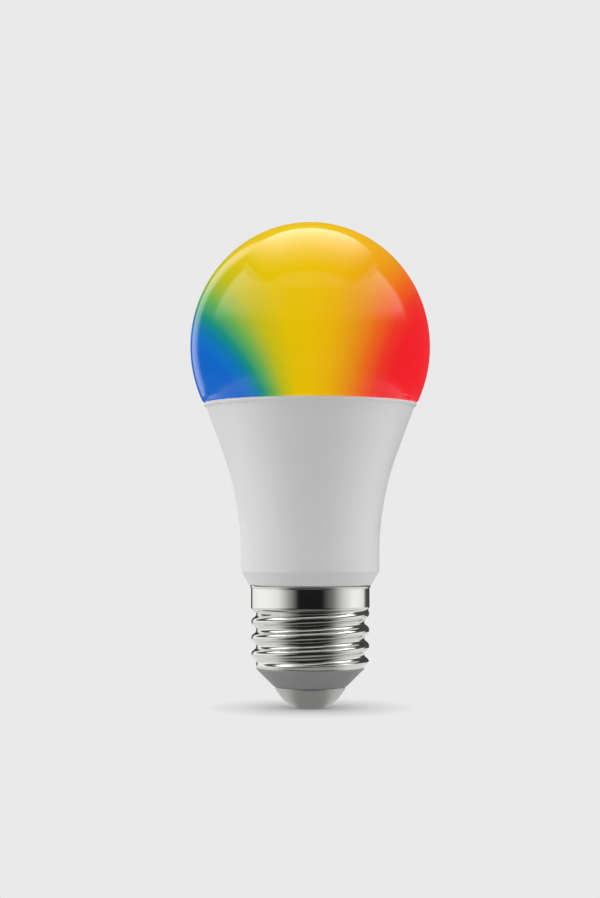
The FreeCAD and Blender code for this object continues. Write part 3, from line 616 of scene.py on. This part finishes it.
@dataclass
class HousingAssembly:
    """The flared white housing with its rim, its collar and the neck inside the cap."""

    rim_radius: float
    rim: float
    cap_top: float
    neck_bottom: float
    neck_radius: float = 15.5
    collar_height: float = 2.6
    collar_radius: float = 13.75
    straight_top: float = 34.3
    flare_share: float = 0.351
    wall: float = 1.2
    bore: float = 10.3
    neck_outer: float = 11.65
    bead: float = 0.28            # the rim's rounded edge stands out by this
    fillet: float = 0.5

    def flare(self, inset: float, low: float, high: float, steps: int = 36) -> list[Point]:
        """Points up the flared side: straight neck, arc, then a straight cone.

        Args:
            inset: how far the side is moved in.
            low: the lowest height.
            high: the highest height.
            steps: how many steps.

        Returns:
            The points from low to high.
        """
        height = self.rim - self.straight_top
        tangent = self.flare_share * height
        angle = math.atan2(self.rim_radius - self.neck_radius, height - tangent)
        bend = tangent / math.tan(angle / 2)
        top = self.straight_top + (bend + inset) * math.sin(angle)
        points = []
        for i in range(steps + 1):
            z = low + (high - low) * i / steps
            if z <= self.straight_top:
                r = self.neck_radius - inset
            elif z <= top:
                r = self.neck_radius + bend - math.sqrt((bend + inset) ** 2 - (z - self.straight_top) ** 2)
            else:
                r = self.rim_radius - inset / math.cos(angle) - (self.rim - z) * math.tan(angle)
            points.append((r, z))
        return points

    def outline(self) -> list[Point]:
        """The closed outline of collar, flare, rim, inside and neck.

        Returns:
            Its points.
        """
        collar_top = self.cap_top + self.collar_height
        foot = rounded([(self.neck_outer, self.neck_bottom, 0.2), (self.neck_outer, self.cap_top, 0.0),
                        (self.collar_radius, self.cap_top + 0.05, 0.18),
                        (self.neck_radius - 0.35, collar_top, 0.3),
                        (self.neck_radius, collar_top + 0.4, self.fillet),
                        (self.neck_radius, collar_top + 4, 0.0)])[:-1]
        side = self.flare(0.0, collar_top + 1.2, self.rim - 0.75)
        edge = arc_points((self.rim_radius - 0.3, self.rim - 0.36), 0.36 + self.bead / 2,
                          -math.pi / 3, math.pi / 2, 8)
        edge = [(r, min(z, self.rim)) for r, z in edge]
        inside = self.flare(self.wall, collar_top + 5, self.rim - 0.4, 24)[::-1]
        tail = rounded([(self.neck_radius - 1.9, collar_top + 4, 0.0),
                        (self.neck_radius - 1.9, collar_top + 2, 0.4),
                        (self.bore + 2.3, collar_top - 0.6, 0.2), (self.bore, collar_top - 0.6, 0.2),
                        (self.bore, self.neck_bottom, 0.2)])
        return foot + side + edge + inside + tail

    def build(self) -> None:
        """Make the housing and dress it."""
        piece = lathed("housing", self.outline(), 224, 45.0)
        fit(piece, "housing_shell", HOUSING_PBT.make())


@dataclass
class CapAssembly:
    """The screw cap: threaded sheet with a rolled rim, insulator cone and centre contact."""

    bottom: float
    top: float
    insulator_top: float
    crest: float = 13.2
    depth: float = 1.1
    pitch: float = 3.629
    top_crest: float = 21.0
    skirt: float = 13.3
    skirt_bottom: float = 22.6
    run_out: float = 1.5
    sheet: float = 0.3
    rim_bead: float = 0.3
    rows: int = 128
    segments: int = 240

    def thread(self, angle: float, z: float) -> float:
        """Radius of the outside of the sheet: crest and root arcs that meet tangent.

        Args:
            angle: angle round the axis, in radians.
            z: height in millimetres.

        Returns:
            The radius in millimetres.
        """
        root = self.crest - self.depth
        turn = 2 * math.atan2(self.depth, self.pitch / 2)
        bend = self.pitch / 4 / math.sin(turn)
        off = (z - self.top_crest) / self.pitch - angle / (2 * math.pi)
        off = abs(off - round(off)) * self.pitch
        if off <= self.pitch / 4:
            radius = self.crest - bend + math.sqrt(bend ** 2 - off ** 2)
        else:
            radius = root + bend - math.sqrt(bend ** 2 - (self.pitch / 2 - off) ** 2)
        fade_in = self.ease((z - self.bottom) / self.run_out)
        fade_out = self.ease((z - self.skirt_bottom + self.run_out) / self.run_out)
        radius = root + (radius - root) * fade_in
        return radius + (self.skirt - radius) * fade_out

    @staticmethod
    def ease(t: float) -> float:
        """Smooth step from 0 to 1."""
        t = min(max(t, 0.0), 1.0)
        return t * t * (3 - 2 * t)

    def sheet_outline(self, angle: float) -> list[Point]:
        """The sheet's closed outline at an angle: outside, rolled rim, inside.

        Args:
            angle: angle round the axis, in radians.

        Returns:
            Its points.
        """
        roll = self.rim_bead
        neck = self.top - 2.6 * roll
        heights = [self.bottom + (neck - self.bottom) * i / self.rows for i in range(self.rows + 1)]
        outside = [(self.thread(angle, z), z) for z in heights]
        rim = arc_points((self.skirt - roll / 2 + 0.02, self.top - roll), roll * 1.15, -math.pi / 3,
                         math.pi * 0.9, 12)
        rim = [(r, min(z, self.top)) for r, z in rim]
        inside = [(self.thread(angle, z) - self.sheet, z) for z in heights[::-2]]
        return outside + rim + inside

    def build_sheet(self) -> None:
        """Make the threaded sheet and dress it."""
        piece = swept_round("cap_thread", self.sheet_outline, self.segments, 50.0)
        fit(piece, "cap_shell", CAP_NICKEL.make())

    def build_insulator(self) -> None:
        """Make the insulator cone, with a step under the sheet and a foot round the contact."""
        root = self.crest - self.depth
        spigot = root - self.sheet - 0.05
        low = reach_mm("cap_insulator")[1]
        corners = [(1.6, low, 0.0), (8.05, low, 0.15), (8.35, low + 0.25, 0.2),
                   (root - 0.02, self.bottom - 0.35, 0.25), (root - 0.02, self.bottom, 0.08),
                   (spigot, self.bottom, 0.0), (spigot, self.insulator_top, 0.2),
                   (6.0, self.insulator_top, 0.2), (6.0, 7.4, 0.3), (1.6, 7.4, 0.0)]
        piece = lathed("insulator", rounded(corners), 160)
        fit(piece, "cap_insulator", INSULATOR_NYLON.make())

    def build_contact(self) -> None:
        """Make the pressed contact dish with its rolled edge and shank."""
        edge, low, _high = reach_mm("centre_contact")
        rise = reach_mm("cap_insulator")[1]
        corners = [(0.0, low, 0.0), (3.9, low, 1.3), (6.25, 1.95, 2.5), (edge, rise - 0.45, 0.5),
                   (edge, rise, 0.15), (edge - 0.5, rise, 0.1), (5.75, 2.2, 2.0), (3.6, 0.5, 0.8),
                   (1.5, 0.5, 0.2), (1.5, 8.6, 0.3), (0.0, 8.6, 0.0)]
        piece = lathed("contact", rounded(corners, 8), 160)
        fit(piece, "centre_contact", CONTACT_NICKEL.make())

    def build(self) -> None:
        """Make all three pieces."""
        self.build_sheet()
        self.build_insulator()
        self.build_contact()


@dataclass
class Innards:
    """Everything sealed inside: the CAD nodes keep their meshes and take real finishes."""

    finishes: dict[str, Finish] = field(default_factory=inner_finishes)
    made: dict[str, bpy.types.Material] = field(default_factory=dict)

    def dress(self, frame: dict[str, Any], outside: set[str]) -> None:
        """Give each node inside the material of its slot.

        Args:
            frame: the loaded frame.
            outside: the nodes that other pieces stand for.
        """
        for part in frame["record"]["subparts"]:
            node, slot = part["node"], part["material_slot"]
            if node in outside:
                continue
            if slot not in self.made:
                self.made[slot] = self.finishes[slot].make()
            thing = frame["nodes"][node]
            thing.data.materials.clear()
            thing.data.materials.append(self.made[slot])
            LOG.info("%s: finish %s", node, self.made[slot].name)


# ---------------------------------------------------------------- studio
@dataclass
class Studio:
    """Pale floor, a round light tent open at the camera, a softbox overhead, and the camera."""

    tent_radius: float = 0.46
    tent_height: float = 0.58
    roof_height: float = 0.62
    roof_power: float = 3.1
    roof_front: tuple[float, float] = (-0.26, 0.20)      # it fades in between these, along Y
    roof_back: float = 0.46
    roof_side: tuple[float, float] = (0.12, 0.42)        # and out between these, along X
    backdrop: float = 0.82
    # painted contact shadow: ambient occlusion of the bulb darkens the floor's emission for camera rays
    shadow_reach: float = 0.015
    shadow_depth: float = 0.6
    shadow_ends: tuple[float, float] = (0.05, 0.09)      # the painted contact shadow fades out between these
    painted_dark_reflection: tuple[float, float] = (math.radians(32), math.radians(78))    # the floor is painted dark in front for mirrored rays, by azimuth
    painted_dark_reflection_starts: tuple[float, float] = (0.016, 0.030)    # and by distance from the axis
    painted_dark_reflection_level: float = 0.02
    painted_under_shade_level: float = 0.42    # painted shade of the mirrored floor right under the bulb, in front
    far_floor: tuple[float, float] = (0.09, 0.28)        # painted darkening of the mirrored floor between these
    far_level: float = 0.15
    fill: float = 0.9
    camera_distance: float = 0.405
    eye: float = 0.039
    aim: tuple[float, float] = (-0.0023, 0.0579)
    view_width: float = 0.135
    low_wall: tuple[tuple[float, float], ...] = (
        (-180, 0.03), (-151, 0.05), (-141, 1.0), (-106, 1.18), (-83, 1.15), (-60, 1.00), (-40, 0.42),
        (-22, 0.01), (22, 0.01), (42, 0.22), (61, 0.72), (86, 1.15), (106, 1.10), (120, 0.95),
        (130, 0.08), (180, 0.03))
    mid_wall: tuple[tuple[float, float], ...] = (
        (-180, 0.03), (-156, 0.05), (-150, 1.0), (-138, 1.0), (-131, 0.05), (-90, 0.10), (-50, 0.25),
        (-22, 0.05), (22, 0.05), (50, 0.20), (90, 0.10), (180, 0.05))
    high_wall: tuple[tuple[float, float], ...] = (
        (-180, 0.05), (-156, 0.05), (-150, 1.2), (-138, 1.2), (-131, 0.05), (-109, 0.05), (-104, 2.6),
        (-75, 2.1), (-45, 0.8), (-22, 0.20), (22, 0.20), (45, 0.6), (75, 2.0), (104, 2.8),
        (109, 0.05), (180, 0.05))
    spread: float = 1.80         # how much brighter the wall lights than it looks in a mirror
    band: tuple[float, float] = (0.20, 0.30)
    card_radius: float = 0.12
    card_height: float = 0.030

    def camera(self) -> None:
        """Place the camera level with the housing, looking along +Y."""
        data = bpy.data.cameras.new("camera")
        data.sensor_fit = "HORIZONTAL"
        data.sensor_width = 36.0
        data.lens = 36.0 * self.camera_distance / self.view_width
        data.clip_start = 0.01
        eye = bpy.data.objects.new("camera", data)
        eye.location = (0.0, -self.camera_distance, self.eye)
        way = Vector((self.aim[0], 0.0, self.aim[1])) - eye.location
        eye.rotation_euler = way.to_track_quat("-Z", "Y").to_euler()
        bpy.context.scene.collection.objects.link(eye)
        bpy.context.scene.camera = eye

    @staticmethod
    def off_camera_side(tree: bpy.types.NodeTree, place: bpy.types.NodeSocket) -> bpy.types.NodeSocket:
        """Work out how far round from the front of the set a point lies.

        Args:
            tree: the node tree.
            place: the point's object coordinates.

        Returns:
            A socket with the angle from the -Y side, from 0 to pi.
        """
        axes = add_node(tree, "SeparateXYZ", links={0: place}).outputs
        side = add_node(tree, "Math", {"operation": "ABSOLUTE"}, {0: axes["X"]})
        front = add_node(tree, "Math", {"operation": "MULTIPLY", 1: -1.0}, {0: axes["Y"]})
        return add_node(tree, "Math", {"operation": "ARCTAN2"},
                        {0: side.outputs[0], 1: front.outputs[0]}).outputs[0]

    @staticmethod
    def seen_rays(tree: bpy.types.NodeTree) -> bpy.types.NodeSocket:
        """Add up the rays that show a thing: from the camera, mirrored or let through.

        Args:
            tree: the node tree.

        Returns:
            A socket that is 1 for those rays and 0 for the rest.
        """
        rays = add_node(tree, "LightPath").outputs
        seen = add_node(tree, "Math", {"operation": "ADD", "use_clamp": True},
                        {0: rays["Is Camera Ray"], 1: rays["Is Glossy Ray"]})
        seen = add_node(tree, "Math", {"operation": "ADD", "use_clamp": True},
                        {0: seen.outputs[0], 1: rays["Is Transmission Ray"]})
        return seen.outputs[0]

    def world(self) -> None:
        """Pale background for what is seen directly, mirrored or through; a low even fill for the rest."""
        world = bpy.data.worlds.new("studio")
        bpy.context.scene.world = world
        world.use_nodes = True
        tree = world.node_tree
        tree.nodes.clear()
        level = add_node(tree, "MapRange", {"To Min": self.fill, "To Max": self.backdrop},
                         {"Value": self.seen_rays(tree)})
        shine = add_node(tree, "Background", {"Color": (1, 1, 1, 1)}, {"Strength": level.outputs[0]})
        add_node(tree, "OutputWorld", links={"Surface": shine.outputs[0]})

    def tent_material(self, name: str, walls: Sequence[tuple[tuple[float, float], ...]],
                      bands: Sequence[tuple[float, float]] = ()) -> bpy.types.Material:
        """Light cloth whose brightness changes round the tent.

        Args:
            name: the material's name.
            walls: brightness by azimuth in degrees, one list for each level of the cloth.
            bands: heights between which one level blends into the next, in metres.

        Returns:
            The material.
        """
        material, tree, shader = new_tree(name)
        tree.nodes.remove(shader)
        output = next(n for n in tree.nodes if n.type == "OUTPUT_MATERIAL")
        place = add_node(tree, "TexCoord").outputs["Object"]
        axes = add_node(tree, "SeparateXYZ", links={0: place}).outputs
        front = add_node(tree, "Math", {"operation": "MULTIPLY", 1: -1.0}, {0: axes["Y"]})
        angle = add_node(tree, "Math", {"operation": "ARCTAN2"}, {0: axes["X"], 1: front.outputs[0]})
        along = add_node(tree, "MapRange", {"From Min": -math.pi, "From Max": math.pi},
                         {"Value": angle.outputs[0]})
        brightest = max(v for stops in walls for _a, v in stops)
        ramps = []
        for stops in walls:
            ramp = add_node(tree, "ValToRGB", links={0: along.outputs[0]})
            fill_ramp(ramp, [((a + 180) / 360, (v / brightest,) * 3 + (1.0,)) for a, v in stops])
            ramps.append(ramp.outputs[0])
        cloth = ramps[0]
        for (low, high), above in zip(bands, ramps[1:]):
            height = add_node(tree, "MapRange", {"interpolation_type": "SMOOTHSTEP", "From Min": low,
                                                 "From Max": high}, {"Value": axes["Z"]})
            cloth = add_node(tree, "MixRGB", {"blend_type": "MIX"},
                             {"Fac": height.outputs[0], "Color1": cloth, "Color2": above}).outputs[0]
        mirrored = add_node(tree, "LightPath").outputs["Is Glossy Ray"]
        power = add_node(tree, "MapRange", {"To Min": brightest * self.spread, "To Max": brightest},
                         {"Value": mirrored})
        glow = add_node(tree, "Emission", {}, {"Color": cloth, "Strength": power.outputs[0]})
        tree.links.new(glow.outputs[0], output.inputs["Surface"])
        return material

    def roof_material(self) -> bpy.types.Material:
        """Overhead cloth that fades in from its front edge and out at its sides.

        Returns:
            The material.
        """
        material, tree, shader = new_tree("roof_cloth")
        tree.nodes.remove(shader)
        output = next(n for n in tree.nodes if n.type == "OUTPUT_MATERIAL")
        place = add_node(tree, "TexCoord").outputs["Object"]
        axes = add_node(tree, "SeparateXYZ", links={0: place}).outputs
        rise = add_node(tree, "MapRange", {"interpolation_type": "SMOOTHSTEP",
                                           "From Min": self.roof_front[0],
                                           "From Max": self.roof_front[1], "To Max": self.roof_power},
                        {"Value": axes["Y"]})
        side = add_node(tree, "Math", {"operation": "ABSOLUTE"}, {0: axes["X"]})
        fade = add_node(tree, "MapRange", {"interpolation_type": "SMOOTHSTEP",
                                           "From Min": self.roof_side[0],
                                           "From Max": self.roof_side[1], "To Min": 1.0, "To Max": 0.0},
                        {"Value": side.outputs[0]})
        power = add_node(tree, "Math", {"operation": "MULTIPLY"}, {0: rise.outputs[0], 1: fade.outputs[0]})
        glow = add_node(tree, "Emission", {"Color": (1, 1, 1, 1)}, {"Strength": power.outputs[0]})
        tree.links.new(glow.outputs[0], output.inputs["Surface"])
        return material

    def cloth(self, name: str, mesh: bmesh.types.BMesh,
              material: bpy.types.Material) -> bpy.types.Object:
        """Hang one cloth of the tent, unseen by the camera.

        Args:
            name: the object's name.
            mesh: its bmesh in metres; it is freed.
            material: its material.

        Returns:
            The new object.
        """
        data = bpy.data.meshes.new(name)
        mesh.to_mesh(data)
        mesh.free()
        data.materials.append(material)
        thing = bpy.data.objects.new(name, data)
        bpy.context.scene.collection.objects.link(thing)
        thing.visible_camera = False
        return thing

    @staticmethod
    def ring(radius: float, height: float) -> bmesh.types.BMesh:
        """Make a round wall that stands on the floor.

        Args:
            radius: its radius in metres.
            height: its height in metres.

        Returns:
            A new bmesh.
        """
        wall = bmesh.new()
        count = 96
        turns = [2 * math.pi * i / count for i in range(count)]
        rings = [[wall.verts.new((radius * math.sin(t), -radius * math.cos(t), z)) for t in turns]
                 for z in (0.001, height)]
        for i in range(count):
            k = (i + 1) % count
            wall.faces.new((rings[0][i], rings[0][k], rings[1][k], rings[1][i]))
        return wall

    def tent(self) -> None:
        """Hang the round wall and the roof, and stand low cards round the cap."""
        self.cloth("tent_wall", self.ring(self.tent_radius, self.tent_height),
                   self.tent_material("tent_cloth", (self.mid_wall, self.high_wall), (self.band,)))
        cards = self.cloth("low_cards", self.ring(self.card_radius, self.card_height),
                           self.tent_material("card_paint", (self.low_wall,)))
        cards.visible_diffuse = False
        cards.visible_shadow = False
        roof = bmesh.new()
        half, front = self.roof_side[1], self.roof_front[0]
        corners = ((-half, front), (half, front), (half, self.roof_back), (-half, self.roof_back))
        roof.faces.new([roof.verts.new((x, y, self.roof_height)) for x, y in corners])
        self.cloth("tent_roof", roof, self.roof_material())

    def floor_material(self) -> bpy.types.Material:
        """White board: as pale as the background where it is seen, with a soft contact shadow painted in
        from ambient occlusion, and dark reflections painted in for mirrored rays.

        Returns:
            The material.
        """
        material, tree, shader = new_tree("white_board_lacquered")
        shader.inputs["Roughness"].default_value = 0.75
        output = next(n for n in tree.nodes if n.type == "OUTPUT_MATERIAL")
        place = add_node(tree, "TexCoord").outputs["Object"]
        grain = add_node(tree, "TexNoise", {"Scale": 40.0, "Detail": 2.0}, {"Vector": place})
        ramp = add_node(tree, "ValToRGB", links={0: grain.outputs["Fac"]})
        fill_ramp(ramp, [(0.3, linear("D2D2D2")), (0.7, linear("D4D4D4"))])
        tree.links.new(ramp.outputs[0], shader.inputs["Base Color"])
        # painted contact shadow: ambient occlusion under the bulb darkens the floor, fading out with
        # distance from the axis
        near = add_node(tree, "AmbientOcclusion", {"Distance": self.shadow_reach, "samples": 24})
        deep = add_node(tree, "Math", {"operation": "POWER", 1: self.shadow_depth},
                        {0: near.outputs["AO"]})
        away = add_node(tree, "VectorMath", {"operation": "LENGTH"}, {0: place})
        painted_contact_shadow = add_node(tree, "MapRange", {"From Min": self.shadow_ends[0],
                                           "From Max": self.shadow_ends[1]},
                        {"Value": away.outputs["Value"], "To Min": deep.outputs[0]})
        # painted dark reflections: mirrored and let-through rays see the floor dark on the camera side,
        # dimmed right under the bulb and darkening far off
        painted_dark_reflection = add_node(tree, "MapRange", {"interpolation_type": "SMOOTHSTEP", "From Min": self.painted_dark_reflection[0],
                                           "From Max": self.painted_dark_reflection[1], "To Min": self.painted_dark_reflection_level},
                        {"Value": self.off_camera_side(tree, place)})
        painted_under_shade = add_node(tree, "MapRange", {"To Min": self.painted_under_shade_level}, {"Value": painted_dark_reflection.outputs[0]})
        painted_dark_reflection = add_node(tree, "MapRange", {"interpolation_type": "SMOOTHSTEP",
                                           "From Min": self.painted_dark_reflection_starts[0],
                                           "From Max": self.painted_dark_reflection_starts[1]},
                        {"Value": away.outputs["Value"], "To Min": painted_under_shade.outputs[0],
                         "To Max": painted_dark_reflection.outputs[0]})
        painted_dark_reflection = add_node(tree, "MapRange", {"interpolation_type": "SMOOTHSTEP",
                                           "From Min": self.far_floor[0],
                                           "From Max": self.far_floor[1], "To Max": self.far_level},
                        {"Value": away.outputs["Value"], "To Min": painted_dark_reflection.outputs[0]})
        # camera rays see the painted contact shadow; mirrored and let-through rays see the painted dark
        # reflections
        direct = add_node(tree, "LightPath").outputs["Is Camera Ray"]
        shade = add_node(tree, "MapRange", {}, {"Value": direct, "To Min": painted_dark_reflection.outputs[0],
                                                "To Max": painted_contact_shadow.outputs[0]})
        level = add_node(tree, "Math", {"operation": "MULTIPLY", 1: self.backdrop},
                         {0: shade.outputs[0]})
        shine = add_node(tree, "Emission", {"Color": (1, 1, 1, 1)}, {"Strength": level.outputs[0]})
        seen = self.seen_rays(tree)
        mix = add_node(tree, "MixShader", links={0: seen, 1: shader.outputs[0], 2: shine.outputs[0]})
        tree.links.new(mix.outputs[0], output.inputs["Surface"])
        return material

    def floor(self) -> None:
        """Lay the floor under the bulb."""
        mesh = bmesh.new()
        bmesh.ops.create_circle(mesh, cap_ends=True, radius=2.0, segments=96)
        data = bpy.data.meshes.new("floor")
        mesh.to_mesh(data)
        mesh.free()
        data.materials.append(self.floor_material())
        thing = bpy.data.objects.new("floor", data)
        bpy.context.scene.collection.objects.link(thing)

    def build(self) -> None:
        """Set up camera, light and floor."""
        scene = bpy.context.scene
        scene.view_settings.view_transform = "Standard"
        self.camera()
        self.world()
        self.tent()
        self.floor()
        LOG.info("studio ready")


def main() -> None:
    """Build the bulb's pieces in order, dress the rest and light it."""
    logging.basicConfig(level=logging.INFO, format="%(name)s: %(message)s")
    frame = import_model()

    Studio().build()
    _radius, plug_bottom, dome_top = reach_mm("diffuser_dome")
    rim_radius, neck_bottom, rim = reach_mm("housing_shell")
    _skirt, cap_bottom, cap_top = reach_mm("cap_shell")
    insulator_top = reach_mm("cap_insulator")[2]
    DomeAssembly(radius=DOME_RADIUS_MM, top=dome_top, seam=rim + SEAM_GAP_MM,
                 plug_bottom=plug_bottom).build()
    HousingAssembly(rim_radius=rim_radius, rim=rim, cap_top=cap_top, neck_bottom=neck_bottom).build()
    CapAssembly(bottom=cap_bottom, top=cap_top, insulator_top=insulator_top).build()
    outside = {"diffuser_dome", "housing_shell", "cap_shell", "cap_insulator", "centre_contact"}
    Innards().dress(frame, outside)

    bpy.context.view_layer.update()


if __name__ == "__main__":
    main()
